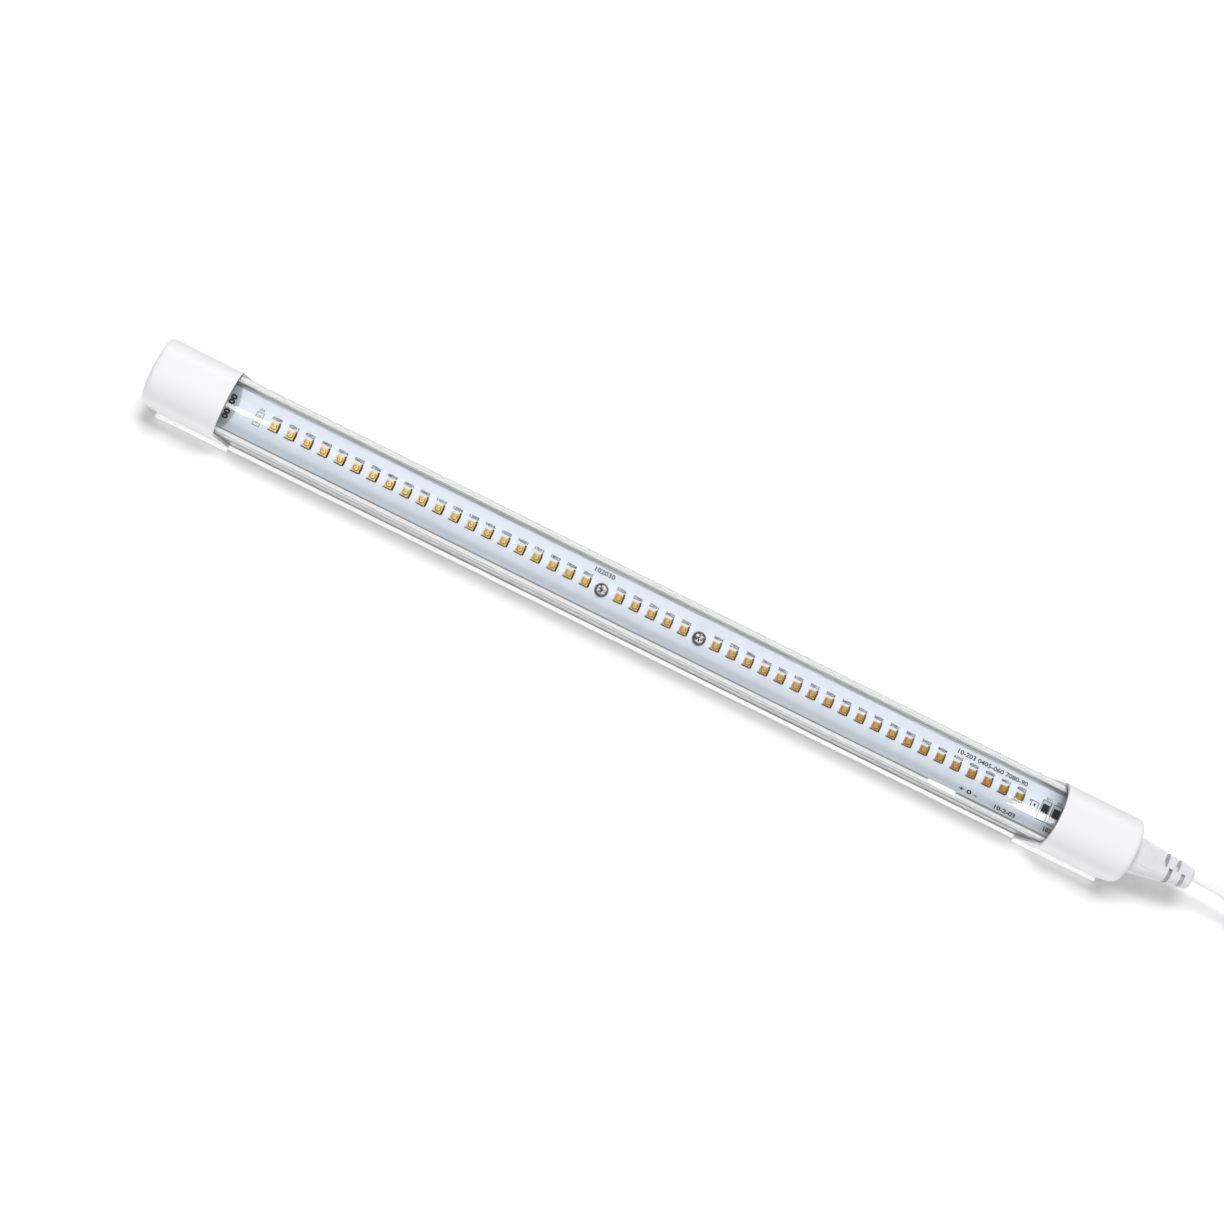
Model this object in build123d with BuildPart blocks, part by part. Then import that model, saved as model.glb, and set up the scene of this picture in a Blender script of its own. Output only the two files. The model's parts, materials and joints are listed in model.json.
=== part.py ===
from build123d import *
import math
import os

os.makedirs("parts", exist_ok=True)

# LED light tube with a plug-in low-voltage power lead. Millimetres.
# Frame: X runs along the tube and the power lead leaves at +X, Y is across, Z is up.
# The origin lies on the surface the feet stand on, under the middle of the clear tube.

# ---- driving dimensions: section of the tube and of the end caps --------------------
left_end_x = -240.2  # outer end face of the left cap
right_end_x = 241.2  # outer end face of the right cap
slip = 0.05  # play all round a part that slides into another
axis_z = 13.0  # height of the centre line of both domes
cap_radius = 15.5
foot_half_width = 17.2
foot_height = 2.6
cap_floor = 0.7  # plastic under the tube's base plate, inside a cap
tube_radius = 14.1
tube_wall = 1.4
rail_half_width = 15.9  # the flat base plate stands out past the tube's sides
rail_bottom = 0.8
rail_top = 2.0
tube_end = 225.5  # where the clear tube stops inside each cap
seat_gap = 0.1  # between the tube and the socket of a cap
seal_thickness = 1.0

# Board groove inside the tube's side walls.
groove_inner_y = 9.3
groove_upper_y = 10.0
groove_bottom_z = 9.7
groove_top_z = 13.7

# ---- driving dimensions: ends of the caps ------------------------------------------
left_rim_x = -205.3
left_foot_x = (-232.6, -197.7)
right_rim_x = 202.5
right_foot_x = (193.0, 235.1)
end_wall = 2.2
edge_round = 2.6

# ---- driving dimensions: light engine ----------------------------------------------
board_x = (-222.0, 216.0)
board_half_width = 10.5
board_bottom = 11.0
board_thickness = 1.6
board_top = board_bottom + board_thickness
bar_x = (-220.0, 214.0)
bar_half_width = 9.2
bar_thickness = 3.0
bar_top = board_bottom - 0.02
led_pitch = 8.0
led_middle_x = 1.0
led_places = 47
screw_places = (20, 26)
screw_spread = 0.3  # the row parts by twice this at the first screw
led_size = 3.5
led_height = 0.9
window_radius = 1.25
window_height = 0.35
window_flange = 0.25  # the window laps over the cup's edge
chip_size = 1.1
chip_height = 0.2
screw_head_radius = 2.9
screw_head_height = 1.9
screw_radius = 1.45
screw_length = 5.4
screw_head_round = 1.0
resistor_x = (198.4, 203.8)
resistor_size = (3.2, 6.4, 0.65)
terminal_length = 1.1
resistor_y = 0.5
capacitor_x = -191.0
capacitor_size = (1.6, 3.2, 0.9)

# ---- driving dimensions: power entry and plug --------------------------------------
entry_z = 14.5
socket_size = (13.2, 9.4)
socket_back_x = 223.0
flange_size = (16.0, 12.4)
flange_thickness = 1.5
well_size = (10.6, 6.8)
well_floor_x = 226.2
contact_y = 2.6
socket_corner = 2.0
flange_corner = 2.5
well_corner = 1.2
nose_corner = 1.0
pin_radius = 0.75
pin_x = (220.5, 238.0)
nose_size = (10.2, 6.4)
nose_back_x = 227.2
sleeve_radius = 1.45
sleeve_bore = 0.95
plug_base_x = right_end_x + 0.3
plug_tip_x = 271.2
plug_base = (17.5, 13.6)
plug_tip = (9.8, 8.8)
plug_base_y = -0.4
plug_tip_y = 1.1
rib_x = (246.2, 247.9, 249.6, 251.3)
rib_size = (0.7, 8.0)
rib_stand = 0.35
slot_x = (256.7, 260.0, 262.6, 266.4)
slot_width = 1.9
slot_core_radius = 2.7
slot_core_corner = 2.2
slot_reach = (12.0, 16.0)  # across and upright, past the moulding's skin
plug_base_corner = 4.4
plug_tip_corner = 3.0
plug_tip_round = 1.2

# ---- driving dimensions: cord, coil and far plug ------------------------------------
cord_diameter = 4.3
cord_radius = cord_diameter / 2
cord_y = 2.5
tie_thickness = 0.8
coil_centre = (342.0, 5.0)
coil_mid_radius = 25.0
coil_band = 3 * cord_diameter  # three turns wide and three high
coil_base_z = tie_thickness
tie_width = 8.0
tie_angle = 40.0
far_body_radius = 4.7
far_body_length = 19.0
far_relief_length = 7.0
far_relief_radius = 3.7
barrel_radius = 2.75
barrel_bore = 1.9
barrel_length = 9.5
core_bore = 1.05


def save(piece, name):
    """Labels one finished piece and writes it as its own STEP file."""
    piece.part.label = name
    export_step(piece.part, f"parts/{name}.step")


def led_x(place):
    """X of one place in the row: even pitch, parted a little at the first screw."""
    shift = 0.0
    if place < screw_places[0]:
        shift = -screw_spread
    if place > screw_places[0]:
        shift = screw_spread
    return led_middle_x + (place - (led_places - 1) / 2) * led_pitch + shift


led_row = [(led_x(k), 0.0) for k in range(led_places) if k not in screw_places]
screw_row = [(led_x(k), 0.0) for k in screw_places]


# ---- clear tube: an extruded round-topped profile with a flat base plate -------------
def tube_outline(grow):
    """Outside of the tube's profile, grown all round by a little for the caps' sockets."""
    r = tube_radius + grow
    w = rail_half_width + grow
    low = rail_bottom - grow
    high = rail_top + grow
    with BuildLine() as line:
        ThreePointArc((-r, axis_z), (0, axis_z + r), (r, axis_z))
        Polyline(
            (r, axis_z), (r, high), (w, high), (w, low),
            (-w, low), (-w, high), (-r, high), (-r, axis_z),
        )
    return line.line


def tube_inside(shrink):
    """Inside of the tube's profile."""
    r = tube_radius - tube_wall - shrink
    floor = rail_bottom + tube_wall + shrink
    with BuildLine() as line:
        ThreePointArc((-r, axis_z), (0, axis_z + r), (r, axis_z))
        Polyline((r, axis_z), (r, floor), (-r, floor), (-r, axis_z))
    return line.line


groove_wall_y = tube_radius - tube_wall + 0.2  # the rails run a little into the wall
with BuildPart() as clear_tube:
    with BuildSketch(Plane.YZ.offset(-tube_end)):
        make_face(tube_outline(0.0))
        make_face(tube_inside(0.0), mode=Mode.SUBTRACT)
        for side in (-1, 1):
            middle = side * (groove_inner_y + groove_wall_y) / 2
            with Locations((middle, (groove_bottom_z + groove_top_z) / 2)):
                Rectangle(groove_wall_y - groove_inner_y, groove_top_z - groove_bottom_z)
            slot_end = board_half_width + slip
            slot_middle = (groove_inner_y + slot_end) / 2
            with Locations((side * slot_middle, board_bottom + board_thickness / 2)):
                Rectangle(slot_end - groove_inner_y, board_thickness + 2 * slip, mode=Mode.SUBTRACT)
            lip = (groove_inner_y + groove_upper_y) / 2
            with Locations((side * lip, (board_top + groove_top_z) / 2)):
                Rectangle(
                    groove_upper_y - groove_inner_y, groove_top_z - board_top, mode=Mode.SUBTRACT
                )
    extrude(amount=2 * tube_end)
save(clear_tube, "clear_tube")


# ---- aluminium bar that stiffens the board and takes its heat ------------------------
with BuildPart() as heat_sink_bar:
    with BuildSketch(Plane.XY.offset(bar_top - bar_thickness)):
        with Locations((sum(bar_x) / 2, 0)):
            Rectangle(bar_x[1] - bar_x[0], 2 * bar_half_width)
        with Locations(*screw_row):
            Circle(screw_radius + slip, mode=Mode.SUBTRACT)
    extrude(amount=bar_thickness)
save(heat_sink_bar, "heat_sink_bar")

# ---- circuit board --------------------------------------------------------------------
with BuildPart() as led_board:
    with BuildSketch(Plane.XY.offset(board_bottom)):
        with Locations((sum(board_x) / 2, 0)):
            Rectangle(board_x[1] - board_x[0], 2 * board_half_width)
        with Locations(*screw_row):
            Circle(screw_radius + 0.2, mode=Mode.SUBTRACT)
    extrude(amount=board_thickness)
save(led_board, "led_board")

# ---- light-emitting diodes: ceramic package, chip in its cup, window on top -----------
cup_radius = window_radius + 0.1
with BuildPart() as led_packages:
    with BuildSketch(Plane.XY.offset(board_top)):
        with Locations(*led_row):
            Rectangle(led_size, led_size)
    extrude(amount=led_height)
    with BuildSketch(Plane.XY.offset(board_top + led_height - chip_height)):
        with Locations(*led_row):
            Circle(cup_radius)
    extrude(amount=chip_height, mode=Mode.SUBTRACT)
save(led_packages, "led_packages")

with BuildPart() as led_chips:
    with BuildSketch(Plane.XY.offset(board_top + led_height - chip_height)):
        with Locations(*led_row):
            Rectangle(chip_size, chip_size)
    extrude(amount=chip_height)
save(led_chips, "led_chips")

with BuildPart() as led_windows:
    with BuildSketch(Plane.XY.offset(board_top + led_height)):
        with Locations(*led_row):
            Circle(window_radius + window_flange)
    extrude(amount=window_height)
save(led_windows, "led_windows")

# ---- pan-head cross-recess screws that clamp the board to the bar ----------------------
recess_length = 3.4
recess_width = 0.8
recess_depth = 1.1
with BuildPart() as board_screws:
    with BuildSketch(Plane.XY.offset(board_top)):
        with Locations(*screw_row):
            Circle(screw_head_radius)
    extrude(amount=screw_head_height)
    fillet(board_screws.edges().group_by(Axis.Z)[-1], radius=screw_head_round)
    with BuildSketch(Plane.XY.offset(board_top)):
        with Locations(*screw_row):
            Circle(screw_radius)
    extrude(amount=-(screw_length - 0.9))
    with BuildSketch(Plane.XY.offset(board_top + screw_head_height - recess_depth)):
        with Locations(*screw_row):
            Rectangle(recess_length, recess_width)
            Rectangle(recess_width, recess_length)
    extrude(amount=recess_depth, mode=Mode.SUBTRACT)
save(board_screws, "board_screws")

# ---- current-limiting resistors and the small capacitor --------------------------------
resistor_spots = [(x, resistor_y) for x in resistor_x]
with BuildPart() as resistor_bodies:
    with BuildSketch(Plane.XY.offset(board_top)):
        with Locations(*resistor_spots):
            Rectangle(resistor_size[0], resistor_size[1] - 2 * terminal_length)
    extrude(amount=resistor_size[2])
save(resistor_bodies, "resistor_bodies")

terminal_offset = (resistor_size[1] - terminal_length) / 2
terminal_spots = [
    (x, resistor_y + side * terminal_offset) for x in resistor_x for side in (-1, 1)
]
with BuildPart() as resistor_terminals:
    with BuildSketch(Plane.XY.offset(board_top)):
        with Locations(*terminal_spots):
            Rectangle(resistor_size[0] - 0.1, terminal_length)
    extrude(amount=resistor_size[2] - 0.05)
save(resistor_terminals, "resistor_terminals")

with BuildPart() as chip_capacitor:
    with BuildSketch(Plane.XY.offset(board_top)):
        with Locations((capacitor_x, 0.3)):
            Rectangle(capacitor_size[0], capacitor_size[1])
    extrude(amount=capacitor_size[2])
save(chip_capacitor, "chip_capacitor")


# ---- end caps ---------------------------------------------------------------------------
def cap_section():
    """Outside of a cap seen along the tube: dome, upright sides and the wide flat foot."""
    r = cap_radius
    w = foot_half_width
    with BuildLine() as line:
        ThreePointArc((-r, axis_z), (0, axis_z + r), (r, axis_z))
        Polyline(
            (r, axis_z), (r, foot_height), (w, foot_height), (w, 0),
            (-w, 0), (-w, foot_height), (-r, foot_height), (-r, axis_z),
        )
    return line.line


def cap_side(outer_x, rim_x, foot_outer_x, foot_inner_x):
    """Outside of a cap seen across the tube: both ends lean in below the dome's widest line."""
    top = axis_z + cap_radius + 1
    with BuildLine() as line:
        Polyline(
            (outer_x, top), (rim_x, top), (rim_x, axis_z), (foot_inner_x, foot_height),
            (foot_inner_x, 0), (foot_outer_x, 0), (foot_outer_x, foot_height),
            (outer_x, axis_z), (outer_x, top),
        )
    return line.line


def above_foot(edge):
    """True for the dome's edge and the upright edges of a cap's end."""
    return edge.center().Z > foot_height + 1


seat_end = tube_end + seal_thickness
chamber_radius = 13.2


def chamber_section(floor_z):
    """Hollow past the tube's end, inside a cap."""
    r = chamber_radius
    with BuildLine() as line:
        ThreePointArc((-r, axis_z), (0, axis_z + r), (r, axis_z))
        Polyline((r, axis_z), (r, floor_z), (-r, floor_z), (-r, axis_z))
    return line.line


with BuildPart() as left_end_cap:
    with BuildSketch(Plane.YZ.offset(left_end_x)):
        make_face(cap_section())
    extrude(amount=left_foot_x[1] - left_end_x)
    outer_end = left_end_cap.edges().group_by(Axis.X)[0]
    fillet(outer_end.filter_by(above_foot), radius=edge_round)
    with BuildSketch(Plane.XZ.offset(-foot_half_width - 1)):
        make_face(cap_side(left_end_x, left_rim_x, *left_foot_x))
    extrude(amount=2 * foot_half_width + 2, mode=Mode.INTERSECT)
    with BuildSketch(Plane.YZ.offset(-seat_end)):
        make_face(tube_outline(seat_gap))
    extrude(amount=seat_end + left_foot_x[1] + 1, mode=Mode.SUBTRACT)
    with BuildSketch(Plane.YZ.offset(left_end_x + end_wall + 1)):
        make_face(chamber_section(axis_z - 0.5))
    extrude(amount=-left_end_x - end_wall - 1 - seat_end, mode=Mode.SUBTRACT)
save(left_end_cap, "left_end_cap")

with BuildPart() as right_end_cap:
    with BuildSketch(Plane.YZ.offset(right_foot_x[0])):
        make_face(cap_section())
    extrude(amount=right_end_x - right_foot_x[0])
    outer_end = right_end_cap.edges().group_by(Axis.X)[-1]
    fillet(outer_end.filter_by(above_foot), radius=edge_round)
    with BuildSketch(Plane.XZ.offset(-foot_half_width - 1)):
        make_face(cap_side(right_end_x, right_rim_x, right_foot_x[1], right_foot_x[0]))
    extrude(amount=2 * foot_half_width + 2, mode=Mode.INTERSECT)
    with BuildSketch(Plane.YZ.offset(right_foot_x[0] - 1)):
        make_face(tube_outline(seat_gap))
    extrude(amount=seat_end - right_foot_x[0] + 1, mode=Mode.SUBTRACT)
    with BuildSketch(Plane.YZ.offset(seat_end)):
        make_face(chamber_section(6.0))
    extrude(amount=right_end_x - end_wall - seat_end - 1, mode=Mode.SUBTRACT)
    with BuildSketch(Plane.YZ.offset(seat_end)):
        with Locations((0, entry_z)):
            RectangleRounded(socket_size[0] + 2 * slip, socket_size[1] + 2 * slip, socket_corner)
    extrude(amount=right_end_x, mode=Mode.SUBTRACT)
save(right_end_cap, "right_end_cap")

# ---- soft seals squeezed between the tube's ends and the caps ----------------------------
with BuildPart() as left_end_seal:
    with BuildSketch(Plane.YZ.offset(-seat_end)):
        make_face(tube_outline(0.0))
        make_face(tube_inside(0.3), mode=Mode.SUBTRACT)
    extrude(amount=seal_thickness)
save(left_end_seal, "left_end_seal")

with BuildPart() as right_end_seal:
    with BuildSketch(Plane.YZ.offset(tube_end)):
        make_face(tube_outline(0.0))
        make_face(tube_inside(0.3), mode=Mode.SUBTRACT)
    extrude(amount=seal_thickness)
save(right_end_seal, "right_end_seal")

# ---- power socket in the right end cap ----------------------------------------------------
contact_spots = [(-contact_y, entry_z), (contact_y, entry_z)]
flange_back_x = right_end_x - end_wall - 1 - flange_thickness
with BuildPart() as power_socket:
    with BuildSketch(Plane.YZ.offset(socket_back_x)):
        with Locations((0, entry_z)):
            RectangleRounded(*socket_size, socket_corner)
    extrude(amount=right_end_x - socket_back_x)
    with BuildSketch(Plane.YZ.offset(flange_back_x)):
        with Locations((0, entry_z)):
            RectangleRounded(*flange_size, flange_corner)
    extrude(amount=flange_thickness)
    with BuildSketch(Plane.YZ.offset(well_floor_x)):
        with Locations((0, entry_z)):
            RectangleRounded(*well_size, well_corner)
    extrude(amount=right_end_x, mode=Mode.SUBTRACT)
    with BuildSketch(Plane.YZ.offset(socket_back_x - 1)):
        with Locations(*contact_spots):
            Circle(pin_radius)
    extrude(amount=well_floor_x - socket_back_x + 2, mode=Mode.SUBTRACT)
save(power_socket, "power_socket")

with BuildPart() as socket_pins:
    with BuildSketch(Plane.YZ.offset(pin_x[0])):
        with Locations(*contact_spots):
            Circle(pin_radius)
    extrude(amount=pin_x[1] - pin_x[0])
    chamfer(socket_pins.edges().group_by(Axis.X)[-1], length=0.3)
save(socket_pins, "socket_pins")

# ---- two short wires from the board's solder pads to the socket's pins ---------------------
wire_radius = 0.6
pad_x = 211.5
for name, side in (("positive_wire", 1), ("negative_wire", -1)):
    pad = Vector(pad_x, side * 4.2, board_top + 1.0)
    lift = Vector(pad_x + 3.5, side * 3.9, board_top + 1.6)
    meet = Vector(pin_x[0], side * contact_y, entry_z)
    with BuildPart() as wire:
        with BuildLine():
            FilletPolyline(pad, lift, meet - Vector(3, 0, 0), meet, radius=1.5)
        with BuildSketch(Plane(origin=pad, z_dir=lift - pad)):
            Circle(wire_radius)
        sweep()
    save(wire, name)

with BuildPart() as solder_joints:
    with BuildSketch(Plane.XY.offset(board_top)):
        with Locations((pad_x - 0.8, -4.2), (pad_x - 0.8, 4.2)):
            Ellipse(1.6, 1.2)
    extrude(amount=1.5, taper=20)
save(solder_joints, "solder_joints")


# ---- plug of the power lead: nose and sleeves in the well, grip and strain relief outside ---
with BuildPart() as plug_nose:
    with BuildSketch(Plane.YZ.offset(nose_back_x)):
        with Locations((0, entry_z)):
            RectangleRounded(*nose_size, nose_corner)
        with Locations(*contact_spots):
            Circle(sleeve_radius, mode=Mode.SUBTRACT)
    extrude(amount=plug_base_x - nose_back_x)
save(plug_nose, "plug_nose")

with BuildPart() as plug_sleeves:
    with BuildSketch(Plane.YZ.offset(nose_back_x)):
        with Locations(*contact_spots):
            Circle(sleeve_radius)
            Circle(sleeve_bore, mode=Mode.SUBTRACT)
    extrude(amount=plug_base_x - nose_back_x)
save(plug_sleeves, "plug_sleeves")


def plug_middle_y(x):
    """The moulding's middle leans towards the cord's exit along its length."""
    share = (x - plug_base_x) / (plug_tip_x - plug_base_x)
    return plug_base_y + share * (plug_tip_y - plug_base_y)


def plug_half_height(x):
    """Half the moulding's height at one place along it."""
    share = (x - plug_base_x) / (plug_tip_x - plug_base_x)
    return (plug_base[1] + share * (plug_tip[1] - plug_base[1])) / 2


with BuildPart() as plug_body:
    with BuildSketch(Plane.YZ.offset(plug_base_x)):
        with Locations((plug_base_y, entry_z)):
            RectangleRounded(*plug_base, plug_base_corner)
    with BuildSketch(Plane.YZ.offset(plug_tip_x)):
        with Locations((plug_tip_y, entry_z)):
            RectangleRounded(*plug_tip, plug_tip_corner)
    loft()
    fillet(plug_body.edges().group_by(Axis.X)[-1], radius=plug_tip_round)
    for x in rib_x:
        with Locations((x, plug_middle_y(x), entry_z)):
            Box(rib_size[0], rib_size[1], 2 * (plug_half_height(x) + rib_stand))
    for n, x in enumerate(slot_x):
        side = 1 if n % 2 == 0 else -1
        with BuildSketch(Plane.YZ.offset(x - slot_width / 2)):
            with Locations((plug_middle_y(x) + side * slot_reach[0] / 2, entry_z)):
                Rectangle(*slot_reach)
            with Locations((plug_middle_y(x), entry_z)):
                core = 2 * slot_core_radius
                RectangleRounded(core, core, slot_core_corner, mode=Mode.SUBTRACT)
        extrude(amount=slot_width, mode=Mode.SUBTRACT)
save(plug_body, "plug_body")


# ---- free cord ------------------------------------------------------------------------------
def runs_of(points):
    """Straight runs between the points of a route."""
    return [b - a for a, b in zip(points, points[1:])]


def corner_radii(points):
    """As large an arc at each corner as its two runs allow."""
    runs = runs_of(points)
    radii = []
    for a, b in zip(runs, runs[1:]):
        half_turn = math.radians(a.get_angle(b)) / 2
        radii.append(0.45 * min(a.length, b.length) / math.tan(half_turn))
    return radii


def cord_tube(points):
    """A round cord along straight runs joined by tangent arcs, and its path's length."""
    with BuildPart() as tube:
        with BuildLine() as path:
            FilletPolyline(*points, radius=corner_radii(points))
        with BuildSketch(Plane(origin=points[0], z_dir=points[1] - points[0])):
            Circle(cord_radius)
        sweep()
    return tube, sum(edge.length for edge in path.edges())


coil_x, coil_y = coil_centre
coil_mid_z = coil_base_z + coil_band / 2
layer_z = [coil_base_z + cord_radius + n * cord_diameter for n in range(3)]
coil_top_z = coil_base_z + coil_band
far_axis_z = coil_top_z + far_body_radius
far_y = coil_y - 20.0
far_back_x = coil_x - 5.0

# Out of the plug, bending to the front and down to the surface, into the coil's lowest turn.
lead_route = [
    Vector(plug_tip_x, cord_y, entry_z),
    Vector(282.6, cord_y, entry_z),
    Vector(294.0, 0.9, 12.3),
    Vector(302.0, -3.6, 8.4),
    Vector(309.3, -8.6, 4.9),
    Vector(317.2, -13.6, 3.15),
    Vector(325.2, -19.0, layer_z[0]),
]
# Off the coil's top turn, rising over it into the back of the far plug.
tail_route = [
    Vector(coil_x - 23.5, coil_y + 8.5, layer_z[2]),
    Vector(coil_x - 25.3, coil_y + 0.4, layer_z[2] + 0.2),
    Vector(coil_x - 24.2, coil_y - 7.5, 13.4),
    Vector(coil_x - 21.1, coil_y - 13.8, 15.4),
    Vector(coil_x - 16.6, coil_y - 17.8, 17.3),
    Vector(coil_x - 11.0, far_y, far_axis_z),
    Vector(far_back_x, far_y, far_axis_z),
]

for name, route in (("cord_lead", lead_route), ("cord_tail", tail_route)):
    tube, length = cord_tube(route)
    save(tube, name)
    radii = ", ".join(f"{r:.1f}" for r in corner_radii(route))
    section = math.pi * cord_radius**2
    print(f"{name}: length {length:.1f}, corner radii {radii}")
    print(f"{name}: volume {tube.part.volume:.1f}, section x length {section * length:.1f}")

# The coil's turns as one closed ring, three cords wide and three high.
with BuildPart() as cord_coil:
    with BuildSketch(Plane(origin=(coil_x, coil_y, 0), x_dir=(1, 0, 0), z_dir=(0, -1, 0))):
        with Locations((coil_mid_radius, coil_mid_z)):
            RectangleRounded(coil_band, coil_band, cord_radius)
    revolve(axis=Axis((coil_x, coil_y, 0), (0, 0, 1)), revolution_arc=360)
save(cord_coil, "cord_coil")

# A flat strap round the bundle of turns.
tie_turn = Plane(
    origin=(coil_x, coil_y, 0),
    x_dir=(math.cos(math.radians(tie_angle)), math.sin(math.radians(tie_angle)), 0),
    z_dir=(0, 0, 1),
)
tie_face = Plane(
    origin=tie_turn.from_local_coords(Vector(coil_mid_radius, -tie_width / 2, coil_mid_z)),
    x_dir=tie_turn.x_dir,
    z_dir=tie_turn.y_dir,
)
strap_outside = coil_band + 2 * tie_thickness
with BuildPart() as coil_tie:
    with BuildSketch(tie_face):
        RectangleRounded(strap_outside + 1.2, strap_outside, cord_radius + tie_thickness)
        RectangleRounded(coil_band + 1.2, coil_band, cord_radius, mode=Mode.SUBTRACT)
    extrude(amount=tie_width)
save(coil_tie, "coil_tie")

# ---- round low-voltage plug on the far end, lying on the coil --------------------------------
far_origin = Plane.YZ.offset(far_back_x)
far_spot = (far_y, far_axis_z)
far_front_x = far_back_x + far_relief_length + far_body_length
with BuildPart() as far_plug_relief:
    with BuildSketch(far_origin):
        with Locations(far_spot):
            Circle(cord_radius + 0.5)
    with BuildSketch(far_origin.offset(far_relief_length)):
        with Locations(far_spot):
            Circle(far_relief_radius)
    loft()
save(far_plug_relief, "far_plug_relief")

with BuildPart() as far_plug_body:
    with BuildSketch(far_origin.offset(far_relief_length)):
        with Locations(far_spot):
            Circle(far_body_radius)
    extrude(amount=far_body_length)
    fillet(far_plug_body.edges().group_by(Axis.X)[0], radius=0.9)
    fillet(far_plug_body.edges().group_by(Axis.X)[-1], radius=0.5)
save(far_plug_body, "far_plug_body")

with BuildPart() as far_plug_barrel:
    with BuildSketch(Plane.YZ.offset(far_front_x)):
        with Locations(far_spot):
            Circle(barrel_radius)
            Circle(barrel_bore, mode=Mode.SUBTRACT)
    extrude(amount=barrel_length)
save(far_plug_barrel, "far_plug_barrel")

with BuildPart() as far_plug_core:
    with BuildSketch(Plane.YZ.offset(far_front_x)):
        with Locations(far_spot):
            Circle(barrel_bore)
            Circle(core_bore, mode=Mode.SUBTRACT)
    extrude(amount=barrel_length - 0.4)
save(far_plug_core, "far_plug_core")
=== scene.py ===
# %% [markdown]
# # A clear tube light with white end caps
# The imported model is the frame: every solid of the light stands in it in metres, X along the
# tube towards the lead, Y across, Z up out of the lit side. This script dresses those solids,
# adds the fine pieces that they leave out, lays the lead, and sets up a plain white studio.

# %% Load the frame
import json
import math

import bpy
import numpy as np
from mathutils import Matrix, Vector


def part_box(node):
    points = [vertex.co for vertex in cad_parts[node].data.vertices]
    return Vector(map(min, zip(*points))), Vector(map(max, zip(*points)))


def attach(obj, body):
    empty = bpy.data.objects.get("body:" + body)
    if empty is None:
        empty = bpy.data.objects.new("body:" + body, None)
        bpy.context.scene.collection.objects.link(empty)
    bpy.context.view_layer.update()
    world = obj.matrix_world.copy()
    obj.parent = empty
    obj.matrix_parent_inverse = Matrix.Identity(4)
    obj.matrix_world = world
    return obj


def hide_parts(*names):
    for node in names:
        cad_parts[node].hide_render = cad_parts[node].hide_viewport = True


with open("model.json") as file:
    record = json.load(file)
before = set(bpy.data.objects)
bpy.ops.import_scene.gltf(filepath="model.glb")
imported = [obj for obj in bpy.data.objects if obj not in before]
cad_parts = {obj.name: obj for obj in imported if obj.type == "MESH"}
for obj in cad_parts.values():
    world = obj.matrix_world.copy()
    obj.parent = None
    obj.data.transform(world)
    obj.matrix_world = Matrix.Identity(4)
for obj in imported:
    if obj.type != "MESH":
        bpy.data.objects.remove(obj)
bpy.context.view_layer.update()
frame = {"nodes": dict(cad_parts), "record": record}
MM = 0.001
nodes = frame["nodes"]

# %% [markdown]
# ## Camera
# The light is seen almost from above, from a little in front and to the left, with the tube
# running down to the right. A long lens from over a metre keeps both ends nearly one size.
# The camera's axes are worked out from the direction it looks back along and its roll.

# %% Place the camera
AIM = np.array([-14.52, -6.72, 13.0]) * MM
LOOK_BACK = np.array([-0.0639, -0.164, 1.0])
DISTANCE = 1147.5 * MM
ROLL = 0.4607
LENS = 76.47

back = LOOK_BACK / np.linalg.norm(LOOK_BACK)
level = np.array([1.0, 0.0, 0.0]) - back[0] * back
level /= np.linalg.norm(level)
rise = np.cross(back, level)
right = level * math.cos(ROLL) + rise * math.sin(ROLL)
up = -level * math.sin(ROLL) + rise * math.cos(ROLL)

camera_data = bpy.data.cameras.new("camera")
camera_data.lens = LENS
camera_data.sensor_width = 36.0
camera_data.clip_end = 20.0
camera = bpy.data.objects.new("camera", camera_data)
bpy.context.scene.collection.objects.link(camera)
turn = Matrix(np.column_stack([right, up, back]).tolist()).to_4x4()
camera.matrix_world = Matrix.Translation((AIM + back * DISTANCE).tolist()) @ turn
bpy.context.scene.camera = camera
print("camera at", tuple(round(v, 3) for v in camera.matrix_world.translation))

# %% [markdown]
# ## The lead's route
# The lead is one round white cord. It leaves the moulded plug straight, sinks to the surface
# in a long bend, and its spare length is wound beside the light in a neat coil of turns that
# lie beside and on each other, with the round plug resting on top. A smooth NURBS curve with
# the route as its control points is what a soft cord looks like: it never shows a corner.

# %% Route points from the plug to the coil, and from the coil to the far plug
CORD = 4.3 * MM
COIL_X, COIL_Y = 0.342, 0.005
PLUG_TIP = (0.2712, 0.0025, 0.0145)
lead_in = np.array([
    PLUG_TIP,
    (0.2826, 0.0025, 0.0145),
    (0.2940, 0.0009, 0.0123),
    (0.3020, -0.0036, 0.0084),
    (0.3093, -0.0086, 0.0049),
    (0.3172, -0.0136, 0.00315),
])
lead_out = np.array([
    (-0.0251, 0.0004, 0.0119),
    (-0.0242, -0.0075, 0.0134),
    (-0.0211, -0.0138, 0.0154),
    (-0.0166, -0.0178, 0.0173),
    (-0.0110, -0.0200, 0.0184),
    (-0.0050, -0.0200, 0.0184),
]) + (COIL_X, COIL_Y, 0.0)
print("points into the coil", len(lead_in), "and out of it", len(lead_out))


# %% [markdown]
# ## The coil
# The turns run out, in, and out again through three layers. Each move to the next place
# takes a seventh of a turn, and the moves are staggered so that a place is always empty
# before the next turn comes into it, the way a hand lays cord.

# %% Turns of the coil
MIDDLE_RADIUS = 25.0 * MM
LAYERS = 2.95 * MM + CORD * np.arange(3)
MOVE = 50.0  # degrees


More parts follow.
